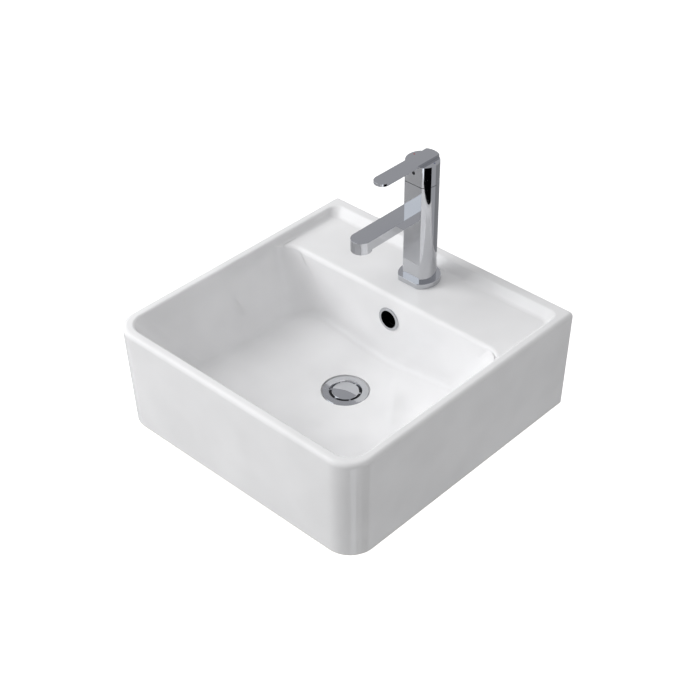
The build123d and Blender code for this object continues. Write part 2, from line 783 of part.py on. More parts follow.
# Tap body: cartridge seat at the top, spigot with the inlets and the stud hole at the foot
with BuildPart() as tap_body:
    extrude(flatted_disc(base_height, tap_radius, tap_flat), amount=body_top - base_height)
    flat_face = tap_body.faces().sort_by(Axis.Y)[0]
    fillet(flat_face.edges().filter_by(Axis.Z), edge_softening)
    with BuildSketch(tap_plane(-spigot_depth)):
        Circle(spigot_radius)
    extrude(amount=base_height + spigot_depth)
    with BuildSketch(tap_plane(counterbore_height)):
        Circle(counterbore_radius)
    extrude(amount=body_top - counterbore_height, mode=Mode.SUBTRACT)
    with BuildSketch(tap_plane(seat_height)):
        Circle(cartridge_radius + cartridge_fit)
    extrude(amount=counterbore_height - seat_height, mode=Mode.SUBTRACT)
    # Pocket for the hoses, the inlets in its roof and their waterways up to the seat
    with BuildSketch(tap_plane(-spigot_depth)):
        with Locations((0, -inlet_advance)):
            SlotCenterToCenter(2 * inlet_offset, 2 * hose_pocket_radius)
    extrude(amount=spigot_depth + inlet_rise, mode=Mode.SUBTRACT)
    with BuildSketch(tap_plane(inlet_rise)):
        with Locations(*port_places[:2]):
            Circle(inlet_radius)
    extrude(amount=inlet_depth, mode=Mode.SUBTRACT)
    with BuildSketch(tap_plane(inlet_rise)):
        with Locations(*port_places[:2]):
            Circle(port_radius)
    extrude(amount=seat_height - inlet_rise, mode=Mode.SUBTRACT)
    # Mixed water: down from the seat, then forward into the spout
    with BuildSketch(tap_plane(spout_axis_height - outlet_radius)):
        with Locations(port_places[2]):
            Circle(outlet_radius)
    extrude(amount=seat_height - spout_axis_height + outlet_radius, mode=Mode.SUBTRACT)
    with BuildSketch(front_plane(-outlet_setback, spout_axis_height)):
        Circle(outlet_radius)
    extrude(amount=tap_flat + outlet_setback, mode=Mode.SUBTRACT)
    # Pocket for the spout's root, and the stud hole
    with BuildSketch(front_plane(tap_flat, spout_axis_height)):
        Circle(spout_root_radius + spout_root_fit)
    extrude(amount=-spout_root_length - spout_root_fit, mode=Mode.SUBTRACT)
    with BuildSketch(tap_plane(-spigot_depth)):
        with Locations((0, stud_setback)):
            Circle(stud_radius + thread_fit)
    extrude(amount=stud_depth + thread_fit, mode=Mode.SUBTRACT)
save(tap_body, "tap_body")

# Spout: a flat bar with a round nose, and a deeper round boss under the nose for the aerator
with BuildPart() as spout:
    bar_length = tap_y - tap_flat - nose_y
    with BuildSketch(tap_plane(spout_under)):
        with Locations((0, nose_y + bar_length / 2 - tap_y)):
            Rectangle(2 * spout_half_width, bar_length)
        with Locations((0, nose_y - tap_y)):
            Circle(spout_half_width)
    extrude(amount=spout_thickness)
    root_face = spout.faces().sort_by(Axis.Y)[-1]
    long_edges = spout.faces().sort_by(Axis.Z)[-1].edges() - root_face.edges()
    fillet(long_edges, edge_softening)
    under_edges = spout.faces().sort_by(Axis.Z)[0].edges() - spout.faces().sort_by(Axis.Y)[-1].edges()
    fillet(under_edges.filter_by(GeomType.LINE), edge_softening)
    with BuildSketch(Plane((0, nose_y, deck_z + nose_under))):
        Circle(spout_half_width)
    extrude(amount=spout_thickness / 2)
    fillet(spout.faces().sort_by(Axis.Z)[0].edges(), edge_softening)
    with BuildSketch(front_plane(tap_flat, spout_axis_height)):
        Circle(spout_root_radius)
    extrude(amount=-spout_root_length)
    # Waterway and the aerator's chamber
    with BuildSketch(front_plane(tap_flat - spout_root_length, spout_axis_height)):
        Circle(spout_bore_radius)
    extrude(amount=spout_root_length + bar_length, mode=Mode.SUBTRACT)
    with BuildSketch(Plane((0, nose_y, deck_z + nose_under))):
        Circle(aerator_thread_radius)
    extrude(amount=aerator_depth, mode=Mode.SUBTRACT)
save(spout, "spout")

# Aerator: threaded housing, the seal above it and the insert that breaks up the jet
aerator_base = nose_under + aerator_recess
aerator_top = nose_under + aerator_depth - aerator_seal_thickness
aerator_height = aerator_top - aerator_base
aerator_radius = aerator_thread_radius - running_gap
insert_radius = aerator_radius - aerator_wall - running_gap
with BuildPart() as aerator_housing:
    with BuildSketch(Plane((0, nose_y, deck_z + aerator_base))):
        Circle(aerator_radius)
    extrude(amount=aerator_height)
    with BuildSketch(Plane((0, nose_y, deck_z + aerator_base))):
        Circle(aerator_radius - aerator_wall)
    extrude(amount=aerator_height, mode=Mode.SUBTRACT)
    with BuildSketch(Plane((0, nose_y, deck_z + aerator_base))):
        with PolarLocations(aerator_radius, aerator_notch_count, start_angle=aerator_notch_turn):
            Rectangle(2 * aerator_wall, aerator_notch_width)
    extrude(amount=aerator_notch_depth, mode=Mode.SUBTRACT)
save(aerator_housing, "aerator_housing")

with BuildPart() as aerator_insert:
    with BuildSketch(Plane((0, nose_y, deck_z + aerator_base + aerator_recess))):
        Circle(insert_radius)
        Circle(insert_radius - aerator_vane_width, mode=Mode.SUBTRACT)
        vane_pitch = 2 * insert_radius / (aerator_vane_count + 1)
        with GridLocations(vane_pitch, 0, aerator_vane_count, 1):
            Rectangle(aerator_vane_width, 2 * insert_radius)
        with GridLocations(0, vane_pitch, 1, aerator_vane_count):
            Rectangle(2 * insert_radius, aerator_vane_width)
        Circle(insert_radius, mode=Mode.INTERSECT)
    extrude(amount=aerator_height - aerator_recess)
save(aerator_insert, "aerator_insert")

aerator_seal_inner = aerator_radius - aerator_wall
aerator_seal = round_plate(aerator_top, aerator_seal_thickness, aerator_radius, nose_y, aerator_seal_inner)
save(aerator_seal, "aerator_seal")

# Fixing under the deck: stud, horseshoe rubber and plate, long nut
with BuildPart() as fixing_stud:
    with BuildSketch(tap_plane(stud_depth - spigot_depth)):
        with Locations((0, stud_setback)):
            Circle(stud_radius)
    extrude(amount=-stud_length)
    chamfer(fixing_stud.faces().sort_by(Axis.Z)[0].edges(), edge_softening)
save(fixing_stud, "fixing_stud")


def horseshoe(top, thickness):
    """A round plate open at the front for the hoses, with a hole for the stud."""
    with BuildPart() as plate:
        with BuildSketch(tap_plane(top)):
            Circle(clamp_radius)
            with Locations((0, clamp_notch_back - clamp_radius)):
                Rectangle(2 * clamp_notch_half, 2 * clamp_radius, mode=Mode.SUBTRACT)
            with Locations((0, stud_setback)):
                Circle(stud_radius + clamp_stud_clearance, mode=Mode.SUBTRACT)
        extrude(amount=-thickness)
    return plate


clamp_rubber = horseshoe(-deck_thickness, rubber_thickness)
save(clamp_rubber, "clamp_rubber")
clamp_plate = horseshoe(-deck_thickness - rubber_thickness, plate_thickness)
save(clamp_plate, "clamp_plate")

with BuildPart() as fixing_nut:
    with BuildSketch(tap_plane(-deck_thickness - rubber_thickness - plate_thickness)):
        with Locations((0, stud_setback)):
            RegularPolygon(fixing_nut_flats, 6, major_radius=False)
            Circle(stud_radius + thread_fit, mode=Mode.SUBTRACT)
    extrude(amount=-fixing_nut_height)
save(fixing_nut, "fixing_nut")

# Cartridge, fixed pieces: base with its port seals, lower ceramic disc, shell
with BuildPart() as cartridge_base:
    with BuildSketch(tap_plane(base_under)):
        Circle(cartridge_inner_radius - cartridge_fit)
        with Locations(*port_places):
            Circle(port_radius, mode=Mode.SUBTRACT)
    extrude(amount=cartridge_base_thickness)
    with BuildSketch(tap_plane(base_under)):
        Circle(cartridge_radius)
        with Locations(*port_places):
            Circle(port_radius, mode=Mode.SUBTRACT)
    extrude(amount=cartridge_foot_thickness)
    with BuildSketch(tap_plane(base_under)):
        with Locations(*port_places):
            Circle(port_seal_radius)
    extrude(amount=port_seal_groove, mode=Mode.SUBTRACT)
save(cartridge_base, "cartridge_base")

with BuildPart() as port_seals:
    with BuildSketch(tap_plane(seat_height)):
        with Locations(*port_places):
            Circle(port_seal_radius)
            Circle(outlet_radius, mode=Mode.SUBTRACT)
    extrude(amount=port_seal_thickness)
save(port_seals, "port_seals")

with BuildPart() as fixed_disc:
    with BuildSketch(tap_plane(disc_level)):
        Circle(fixed_disc_radius)
        with Locations(*port_places):
            Circle(port_radius, mode=Mode.SUBTRACT)
    extrude(amount=fixed_disc_thickness)
save(fixed_disc, "fixed_disc")

with BuildPart() as cartridge_body:
    with BuildSketch(tap_plane(base_under + cartridge_foot_thickness)):
        Circle(cartridge_radius)
    extrude(amount=neck_base - base_under - cartridge_foot_thickness)
    with BuildSketch(tap_plane(neck_base)):
        Circle(neck_radius)
    extrude(amount=neck_top - neck_base)
    with BuildSketch(tap_plane(base_under + cartridge_foot_thickness)):
        Circle(cartridge_inner_radius)
    extrude(amount=shell_lip - base_under - cartridge_foot_thickness, mode=Mode.SUBTRACT)
    with BuildSketch(tap_plane(shell_lip)):
        Circle(neck_inner_radius)
    extrude(amount=neck_top - shell_lip, mode=Mode.SUBTRACT)
save(cartridge_body, "cartridge_body")

# Nut that holds the cartridge down, and the chrome cover over it
with BuildPart() as cartridge_nut:
    with BuildSketch(tap_plane(nut_base)):
        Circle(counterbore_radius - running_gap)
    extrude(amount=body_top - nut_base)
    with BuildSketch(tap_plane(body_top)):
        RegularPolygon(nut_corner_radius, 6)
    extrude(amount=nut_top - body_top)
    with BuildSketch(tap_plane(nut_base)):
        Circle(cartridge_radius + cartridge_fit)
    extrude(amount=neck_base - nut_base, mode=Mode.SUBTRACT)
    with BuildSketch(tap_plane(neck_base)):
        Circle(neck_radius + nut_clearance)
    extrude(amount=nut_top - neck_base, mode=Mode.SUBTRACT)
save(cartridge_nut, "cartridge_nut")

turret_radius = neck_inner_radius - turret_fit
tap_section = Plane((0, tap_y, deck_z), x_dir=(1, 0, 0), z_dir=(0, -1, 0))
tap_axis = Axis((0, tap_y, 0), (0, 0, 1))
with BuildPart() as cartridge_cover:
    with BuildSketch(tap_section):
        Polygon(
            (cover_radius, body_top),
            (cover_radius, cover_knee),
            (cover_top_radius, cover_top),
            (turret_radius + nut_clearance, cover_top),
            (turret_radius + nut_clearance, cover_top - cover_skin),
            (cover_top_radius - cover_skin, cover_top - cover_skin),
            (cover_radius - cover_skin, cover_knee - cover_skin),
            (cover_radius - cover_skin, body_top),
            align=None,
        )
    revolve(axis=tap_axis)
save(cartridge_cover, "cartridge_cover")

# Turning piece: flange under the shell's lip, slotted column, slot for the spindle's foot
with BuildPart() as cartridge_turret:
    with BuildSketch(tap_plane(turret_flange_base)):
        Circle(turret_flange_radius)
    extrude(amount=turret_flange_thickness)
    with BuildSketch(tap_plane(turret_flange_base)):
        Circle(turret_radius)
    extrude(amount=turret_top - turret_flange_base)
    with BuildSketch(tap_plane(turret_plate_top)):
        Rectangle(turret_slot, 4 * turret_radius)
    extrude(amount=turret_top - turret_plate_top, mode=Mode.SUBTRACT)
    foot_travel = foot_arm * sin(radians(lift_angle))
    foot_clear = foot_radius + foot_play
    with BuildSketch(tap_plane(turret_flange_base)):
        with Locations((0, -foot_travel / 2)):
            Rectangle(2 * foot_clear, foot_travel + 2 * foot_clear)
    extrude(amount=turret_plate_thickness, mode=Mode.SUBTRACT)
    with BuildSketch(Plane((0, tap_y, deck_z + pivot_height), x_dir=(0, 1, 0), z_dir=(1, 0, 0))):
        Circle(pin_radius + pin_clearance)
    extrude(amount=turret_radius, both=True, mode=Mode.SUBTRACT)
save(cartridge_turret, "cartridge_turret")

pivot_plane = Plane((0, tap_y, deck_z + pivot_height), x_dir=(0, 1, 0), z_dir=(1, 0, 0))
with BuildPart() as pivot_pin:
    with BuildSketch(pivot_plane):
        Circle(pin_radius)
    extrude(amount=pin_length / 2, both=True)
save(pivot_pin, "pivot_pin")

# Spindle: square shank, round stem and the ball that pushes the disc carrier
with BuildPart() as spindle:
    with BuildSketch(tap_plane(spindle_shoulder)):
        Rectangle(spindle_width, spindle_width)
    extrude(amount=spindle_top - spindle_shoulder)
    chamfer(spindle.faces().sort_by(Axis.Z)[-1].edges(), edge_softening)
    with BuildSketch(tap_plane(foot_height)):
        Circle(spindle_stem_radius)
    extrude(amount=spindle_shoulder - foot_height)
    with Locations((0, tap_y, deck_z + foot_height)):
        Sphere(foot_radius)
    with BuildSketch(pivot_plane):
        Circle(pin_radius + pin_clearance)
    extrude(amount=spindle_width, both=True, mode=Mode.SUBTRACT)
save(spindle, "spindle")

# Upper ceramic disc with its mixing hollow, and the carrier on its back
with BuildPart() as moving_disc:
    with BuildSketch(tap_plane(moving_level)):
        with Locations((0, disc_rest_offset)):
            Circle(moving_disc_radius)
    extrude(amount=moving_disc_thickness)
    with BuildSketch(tap_plane(moving_level)):
        with Locations((0, disc_rest_offset)):
            Circle(mixing_hollow_radius)
    extrude(amount=moving_disc_thickness / 2, mode=Mode.SUBTRACT)
save(moving_disc, "moving_disc")

with BuildPart() as disc_carrier:
    with BuildSketch(tap_plane(carrier_level)):
        with Locations((0, disc_rest_offset)):
            Circle(moving_disc_radius)
    extrude(amount=disc_carrier_thickness)
    with BuildSketch(tap_plane(foot_height - foot_clear)):
        Circle(foot_clear)
    extrude(amount=2 * foot_clear, mode=Mode.SUBTRACT)
save(disc_carrier, "disc_carrier")

# Handle: hollow head with the lever bar on top, a square socket for the spindle inside
grub_hole_radius = grub_radius + thread_fit
with BuildPart() as lever_bar:
    lever_nose = -(lever_reach - lever_half_width)
    with BuildSketch(tap_plane(head_top)):
        Circle(tap_radius)
        Rectangle(2 * lever_half_width, 4 * tap_radius, mode=Mode.INTERSECT)
        with Locations((0, lever_nose / 2)):
            Rectangle(2 * lever_half_width, -lever_nose)
        with Locations((0, lever_nose)):
            Circle(lever_half_width)
    extrude(amount=lever_thickness)
    fillet(lever_bar.faces().filter_by(Axis.Z).edges(), lever_edge_radius)

with BuildPart() as handle:
    extrude(flatted_disc(seam_height, tap_radius, tap_flat), amount=head_top - seam_height)
    head_flat = handle.faces().sort_by(Axis.Y)[0]
    fillet(head_flat.edges().filter_by(Axis.Z), edge_softening)
    inner_radius = tap_radius - head_wall
    inner_flat = tap_flat - head_flat_wall
    head_hollow = flatted_disc(seam_height, inner_radius, inner_flat)
    extrude(head_hollow, amount=roof_height - seam_height, mode=Mode.SUBTRACT)
    add(lever_bar.part)
    with BuildSketch(tap_plane(socket_base)):
        Rectangle(socket_size, socket_size)
    extrude(amount=socket_depth)
    with BuildSketch(front_plane(socket_size / 2, grub_height)):
        Circle(grub_boss_radius)
    extrude(amount=inner_flat + head_flat_wall / 2 - socket_size / 2)
    with BuildSketch(tap_plane(socket_base)):
        socket_width = spindle_width + 2 * socket_clearance
        Rectangle(socket_width, socket_width)
    extrude(amount=socket_depth, mode=Mode.SUBTRACT)
    with BuildSketch(front_plane(0, grub_height)):
        Circle(grub_hole_radius)
    extrude(amount=tap_flat, mode=Mode.SUBTRACT)
    # Relief under the back of the head
    relief_run = tap_radius - relief_start
    relief_rise = relief_run * tan(radians(relief_angle))
    with BuildSketch(Plane.YZ):
        relief_y = tap_y + relief_start
        relief_z = deck_z + seam_height
        Polygon(
            (relief_y, relief_z),
            (relief_y + 2 * relief_run, relief_z + 2 * relief_rise),
            (relief_y + 2 * relief_run, relief_z),
            align=None,
        )
    extrude(amount=tap_radius, both=True, mode=Mode.SUBTRACT)
    # Sockets of the two index marks
    with BuildSketch(tap_plane(head_top)):
        with Locations((-index_offset, index_setback), (index_offset, index_setback)):
            Circle(index_radius + thread_fit)
    extrude(amount=-index_depth, mode=Mode.SUBTRACT)
save(handle, "handle")

for name, place in (("hot_mark", -index_offset), ("cold_mark", index_offset)):
    with BuildPart() as index_mark:
        with BuildSketch(tap_plane(head_top - index_depth)):
            with Locations((place, index_setback)):
                Circle(index_radius)
        extrude(amount=index_depth)
    save(index_mark, name)

# Grub screw against the spindle, and the dark cap in the head's flat front
grub_start = spindle_width / 2
with BuildPart() as handle_grub_screw:
    with BuildSketch(front_plane(grub_start, grub_height)):
        Circle(grub_radius)
    extrude(amount=grub_length)
    with BuildSketch(front_plane(grub_start + grub_length, grub_height)):
        RegularPolygon(grub_key_flats, 6, major_radius=False)
    extrude(amount=-grub_length / 2, mode=Mode.SUBTRACT)
save(handle_grub_screw, "handle_grub_screw")

with BuildPart() as handle_cap:
    with BuildSketch(front_plane(tap_flat - cap_recess, grub_height)):
        Circle(grub_radius)
    extrude(amount=-cap_thickness)
save(handle_cap, "handle_cap")

# Plastic sleeves in the wall-fixing holes and their washers
sleeve_start = back_wall + sleeve_flange_thickness
with BuildPart() as wall_sleeves:
    with BuildSketch(Plane.XZ):
        with GridLocations(wall_hole_spacing, 0, 2, 1):
            Circle(wall_hole_radius - sleeve_clearance)
    extrude(amount=back_wall)
    with BuildSketch(Plane.XZ.offset(back_wall)):
        with GridLocations(wall_hole_spacing, 0, 2, 1):
            Circle(sleeve_flange_radius)
    extrude(amount=sleeve_flange_thickness)
    with BuildSketch(Plane.XZ):
        with GridLocations(wall_hole_spacing, 0, 2, 1):
            Circle(sleeve_bore_radius)
    extrude(amount=sleeve_start, mode=Mode.SUBTRACT)
save(wall_sleeves, "wall_sleeves")

with BuildPart() as wall_washers:
    with BuildSketch(Plane.XZ.offset(sleeve_start)):
        with GridLocations(wall_hole_spacing, 0, 2, 1):
            Circle(wall_washer_radius)
            Circle(sleeve_bore_radius, mode=Mode.SUBTRACT)
    extrude(amount=wall_washer_thickness)
save(wall_washers, "wall_washers")
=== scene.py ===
import json
from math import cos, pi, radians, sin

import bpy
from mathutils import Matrix, Vector

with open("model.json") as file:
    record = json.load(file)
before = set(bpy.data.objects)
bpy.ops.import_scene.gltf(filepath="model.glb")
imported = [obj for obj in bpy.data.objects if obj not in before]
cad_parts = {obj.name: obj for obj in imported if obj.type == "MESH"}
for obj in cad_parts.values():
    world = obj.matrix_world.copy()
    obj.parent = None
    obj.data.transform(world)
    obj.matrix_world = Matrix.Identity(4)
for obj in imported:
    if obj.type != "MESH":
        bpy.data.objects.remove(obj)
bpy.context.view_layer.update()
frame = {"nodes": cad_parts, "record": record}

nodes = frame["nodes"]
MM = 0.001

# Places that the finishes are laid out by, in millimetres. The wall is the plane Y = 0.
rim_level = 55.0
foot_level = -95.0              # the apron's lower edge
overflow_face = -122.0          # Y of the bowl's back wall at the overflow
overflow_level = 6.15           # Z of the hole's axis, which runs along Y
overflow_hole_radius = 14.0
overflow_sleeve_bore = 12.5
channel_half_width = 23.0       # the overflow's channel and 1 mm of the clay round it
channel_front = -112.0
channel_back = -98.0
channel_roof = 23.0
channel_sole = -87.0
waste_axis = -206.4             # Y of the waste's axis, which runs along Z
flange_level = -65.6
tail_radius = 20.95
thread_low = -111.5             # the tail's relief groove
thread_high = -72.0


def linear(hex_colour):
    """An sRGB hex colour as linear red, green, blue and alpha."""
    channels = [int(hex_colour[i : i + 2], 16) / 255 for i in (0, 2, 4)]
    return tuple(c / 12.92 if c <= 0.04045 else ((c + 0.055) / 1.055) ** 2.4 for c in channels) + (1.0,)


def add(tree, kind, sockets=None, **settings):
    """Adds a node with its settings. A socket, named or counted, takes a value or another node's output."""
    node = tree.nodes.new("ShaderNode" + kind)
    for name, value in settings.items():
        setattr(node, name, value)
    for name, value in (sockets or {}).items():
        if isinstance(value, bpy.types.NodeSocket):
            tree.links.new(value, node.inputs[name])
        else:
            node.inputs[name].default_value = value
    return node


def start_finish(name):
    """An empty material for one finish, and its node tree."""
    material = bpy.data.materials.new(name)
    material.use_nodes = True
    material.node_tree.nodes.clear()
    return material, material.node_tree


def patches(size_mm):
    """The scale at which noise has patches about size_mm across."""
    return 1.0 / (size_mm * MM)


def ridges(pitch_mm):
    """The scale at which a wave texture has one ridge for each pitch."""
    waves_per_metre = 20 / (2 * pi)
    return 1.0 / (waves_per_metre * pitch_mm * MM)


def distance_from_line(tree, place, shift_mm, kept_axes):
    """How far a place lies from the line that the shift brings to the middle, along the axis not kept."""
    shift = [length * MM for length in shift_mm]
    flat = add(tree, "Mapping", {"Vector": place, "Location": shift, "Scale": kept_axes}).outputs[0]
    return add(tree, "VectorMath", {0: flat}, operation="LENGTH").outputs["Value"]


def painted_overflow_shade(tree, place, axes):
    """Where painted shade goes: 1 in the overflow's hole and in the channel behind it, and 0 on the rest of
    the basin.
    """
    from_axis = distance_from_line(tree, place, (0, 0, -overflow_level), (1, 0, 1))
    in_hole = add(tree, "MapRange", {
        0: from_axis,
        1: (overflow_hole_radius + 0.4) * MM,
        2: overflow_hole_radius * MM,
    }).outputs[0]
    behind_face = add(tree, "MapRange", {
        0: axes["Y"],
        1: (overflow_face + 0.5) * MM,
        2: (overflow_face + 1.5) * MM,
    }).outputs[0]
    channel_end = (channel_back - 1.0) * MM
    before_back = add(tree, "Math", {0: axes["Y"], 1: channel_end}, operation="LESS_THAN").outputs[0]
    in_hole = add(tree, "Math", {0: in_hole, 1: behind_face}, operation="MULTIPLY").outputs[0]
    in_hole = add(tree, "Math", {0: in_hole, 1: before_back}, operation="MULTIPLY").outputs[0]

    # The channel is a box inside the clay, so a place is in it if it is between its ends along each axis
    spans = {
        "X": (-channel_half_width, channel_half_width),
        "Y": (channel_front, channel_back),
        "Z": (channel_sole, channel_roof),
    }
    in_channel = 1.0
    for axis, (low, high) in spans.items():
        middle_of_span = 0.5 * (low + high) * MM
        half_of_span = 0.5 * (high - low) * MM
        off_middle = add(tree, "Math", {0: axes[axis], 1: middle_of_span}, operation="SUBTRACT").outputs[0]
        off_middle = add(tree, "Math", {0: off_middle}, operation="ABSOLUTE").outputs[0]
        within = add(tree, "Math", {0: off_middle, 1: half_of_span}, operation="LESS_THAN").outputs[0]
        in_channel = add(tree, "Math", {0: in_channel, 1: within}, operation="MULTIPLY").outputs[0]
    return add(tree, "Math", {0: in_hole, 1: in_channel}, operation="MAXIMUM").outputs[0]


def sprayed_glaze():
    """Sanitary vitreous china: slip cast, sprayed with white glaze and fired. A hard, deep gloss with a faint
    orange peel, cloudy where the glaze lies thicker, and bare matt body on the back and under the apron."""
    material, tree = start_finish("sprayed_glaze_on_vitreous_china")
    place = add(tree, "NewGeometry").outputs["Position"]
    axes = add(tree, "SeparateXYZ", {0: place}).outputs

    cloud = add(tree, "TexNoise", {"Vector": place, "Scale": patches(90.0), "Detail": 2.0}).outputs[0]
    cloud = add(tree, "MapRange", {0: cloud, 1: 0.35, 2: 0.65}).outputs[0]
    thin_glaze = linear("ECECED")
    thick_glaze = linear("F3F3F4")
    glaze = add(tree, "Mix", {0: cloud, 6: thin_glaze, 7: thick_glaze}, data_type="RGBA").outputs[2]

    # Bare body, with the grain of its sponging, where the basin meets the wall and stood in the kiln
    grain = add(tree, "TexNoise", {"Vector": place, "Scale": patches(1.6), "Detail": 3.0}).outputs[0]
    body = add(tree, "Mix", {0: grain, 6: linear("CFC9BE"), 7: linear("E6E1D8")}, data_type="RGBA").outputs[2]
    at_wall = add(tree, "MapRange", {0: axes["Y"], 1: -0.9 * MM, 2: -0.4 * MM}).outputs[0]
    at_foot = add(tree, "MapRange", {
        0: axes["Z"],
        1: (foot_level + 1.2) * MM,
        2: (foot_level + 0.6) * MM,
    }).outputs[0]
    bare = add(tree, "Math", {0: at_wall, 1: at_foot}, operation="MAXIMUM").outputs[0]
    colour = add(tree, "Mix", {0: bare, 6: glaze, 7: body}, data_type="RGBA").outputs[2]

    # Painted shade: the overflow's hole and the channel behind it are coloured near black
    overflow_shade = painted_overflow_shade(tree, place, axes)
    colour = add(tree, "Mix", {0: overflow_shade, 6: colour, 7: linear("141312")}, data_type="RGBA").outputs[2]

    gloss = add(tree, "Mix", {0: bare, 2: 0.06, 3: 0.75}).outputs[0]
    peel = add(tree, "TexNoise", {"Vector": place, "Scale": patches(7.0), "Detail": 1.0}).outputs[0]
    peel = add(tree, "Bump", {"Height": peel, "Distance": 0.02 * MM, "Strength": 0.35}).outputs[0]
    sponged = add(tree, "Math", {0: grain, 1: bare}, operation="MULTIPLY").outputs[0]
    surface = add(tree, "Bump", {
        "Height": sponged,
        "Distance": 0.2 * MM,
        "Strength": 0.5,
        "Normal": peel,
    }).outputs[0]
    shader = add(tree, "BsdfPrincipled", {
        "Base Color": colour,
        "Roughness": gloss,
        "IOR": 1.5,
        "Normal": surface,
    })
    add(tree, "OutputMaterial", {"Surface": shader.outputs[0]})
    return material


def buffed_chrome():
    """Brass casting, ground, buffed and chrome plated: a cool mirror with the slight haze and long soft waves
    that the buffing wheel leaves."""
    material, tree = start_finish("buffed_chrome_plate")
    place = add(tree, "NewGeometry").outputs["Position"]
    haze = add(tree, "TexNoise", {"Vector": place, "Scale": patches(18.0), "Detail": 4.0}).outputs[0]
    haze = add(tree, "MapRange", {0: haze, 1: 0.3, 2: 0.7, 3: 0.03, 4: 0.06}).outputs[0]
    tint = add(tree, "TexNoise", {"Vector": place, "Scale": patches(40.0), "Detail": 1.0}).outputs[0]
    tint = add(tree, "Mix", {0: tint, 6: linear("C5C6CA"), 7: linear("CDCED0")}, data_type="RGBA").outputs[2]
    wave = add(tree, "TexNoise", {"Vector": place, "Scale": patches(14.0), "Detail": 0.0}).outputs[0]
    wave = add(tree, "Bump", {"Height": wave, "Distance": 0.01 * MM, "Strength": 0.3}).outputs[0]
    shader = add(tree, "BsdfPrincipled", {
        "Base Color": tint,
        "Roughness": haze,
        "Metallic": 1.0,
        "Normal": wave,
    })
    add(tree, "OutputMaterial", {"Surface": shader.outputs[0]})
    return material


def plated_overflow_ring():
    """Pressed ring, chrome plated on its face, with painted shade that colours the inside of its hole near
    black.
    """
    material, tree = start_finish("plated_overflow_ring")
    place = add(tree, "NewGeometry").outputs["Position"]
    from_axis = distance_from_line(tree, place, (0, 0, -overflow_level), (1, 0, 1))
    # Painted shade: inside the hole the ring is coloured near black
    shaded_bore = add(tree, "MapRange", {
        0: from_axis,
        1: (overflow_sleeve_bore + 0.5) * MM,
        2: (overflow_sleeve_bore + 0.2) * MM,
    }).outputs[0]
    haze = add(tree, "TexNoise", {"Vector": place, "Scale": patches(9.0), "Detail": 3.0}).outputs[0]
    haze = add(tree, "MapRange", {0: haze, 1: 0.3, 2: 0.7, 3: 0.04, 4: 0.08}).outputs[0]
    haze = add(tree, "Mix", {0: shaded_bore, 2: haze, 3: 0.5}).outputs[0]
    tint = add(tree, "Mix", {0: shaded_bore, 6: linear("C9CACD"), 7: linear("0C0C0D")}, data_type="RGBA").outputs[2]
    shader = add(tree, "BsdfPrincipled", {"Base Color": tint, "Roughness": haze, "Metallic": 1.0})
    add(tree, "OutputMaterial", {"Surface": shader.outputs[0]})
    return material


def plated_waste():
    """Turned brass waste, chrome plated: a mirror flange with fine turning rings round its axis, painted
    shade that colours the inside under the plug near black, and the tail's thread under the basin."""
    material, tree = start_finish("plated_turned_waste")
    place = add(tree, "NewGeometry").outputs["Position"]
    axes = add(tree, "SeparateXYZ", {0: place}).outputs
    radius = distance_from_line(tree, place, (0, -waste_axis, 0), (1, 1, 0))
    rings = add(tree, "TexNoise", {
        "W": radius,
        "Scale": patches(0.9),
        "Detail": 2.0,
    }, noise_dimensions="1D").outputs[0]
    haze = add(tree, "MapRange", {0: rings, 1: 0.3, 2: 0.7, 3: 0.04, 4: 0.09}).outputs[0]
    tint = add(tree, "TexNoise", {"Vector": place, "Scale": patches(20.0), "Detail": 2.0}).outputs[0]
    tint = add(tree, "Mix", {0: tint, 6: linear("C4C5C8"), 7: linear("CDCED0")}, data_type="RGBA").outputs[2]

    # Painted shade: inside the waste under the plug the colour is near black, and soap dulls the metal there
    narrow = add(tree, "MapRange", {0: radius, 1: 21.0 * MM, 2: 20.4 * MM}).outputs[0]
    deep = add(tree, "MapRange", {
        0: axes["Z"],
        1: (flange_level - 1.6) * MM,
        2: (flange_level - 2.6) * MM,
    }).outputs[0]
    inside_tail = (tail_radius - 0.5) * MM
    inside = add(tree, "Math", {0: radius, 1: inside_tail}, operation="LESS_THAN").outputs[0]
    shaded_bore = add(tree, "Math", {0: narrow, 1: deep}, operation="MULTIPLY").outputs[0]
    shaded_bore = add(tree, "Math", {0: shaded_bore, 1: inside}, operation="MULTIPLY").outputs[0]
    tint = add(tree, "Mix", {0: shaded_bore, 6: tint, 7: linear("101011")}, data_type="RGBA").outputs[2]
    haze = add(tree, "Mix", {0: shaded_bore, 2: haze, 3: 0.45}).outputs[0]

    # The tail's pipe thread, 2.31 mm, on its outside above the relief groove
    thread = add(tree, "TexWave", {
        "Vector": place,
        "Scale": ridges(2.31),
        "Distortion": 0.0,
    }, bands_direction="Z").outputs["Fac"]
    above = add(tree, "MapRange", {0: axes["Z"], 1: thread_low * MM, 2: (thread_low + 1.0) * MM}).outputs[0]
    below = add(tree, "MapRange", {0: axes["Z"], 1: thread_high * MM, 2: (thread_high - 2.0) * MM}).outputs[0]
    outside = add(tree, "MapRange", {
        0: radius,
        1: (tail_radius - 0.7) * MM,
        2: (tail_radius - 0.4) * MM,
    }).outputs[0]
    threaded = add(tree, "Math", {0: above, 1: below}, operation="MULTIPLY").outputs[0]
    threaded = add(tree, "Math", {0: threaded, 1: outside}, operation="MULTIPLY").outputs[0]
    height = add(tree, "Math", {0: thread, 1: threaded}, operation="MULTIPLY").outputs[0]
    surface = add(tree, "Bump", {"Height": height, "Distance": 1.2 * MM, "Strength": 0.9}).outputs[0]
    shader = add(tree, "BsdfPrincipled", {
        "Base Color": tint,
        "Roughness": haze,
        "Metallic": 1.0,
        "Normal": surface,
    })
    add(tree, "OutputMaterial", {"Surface": shader.outputs[0]})
    return material


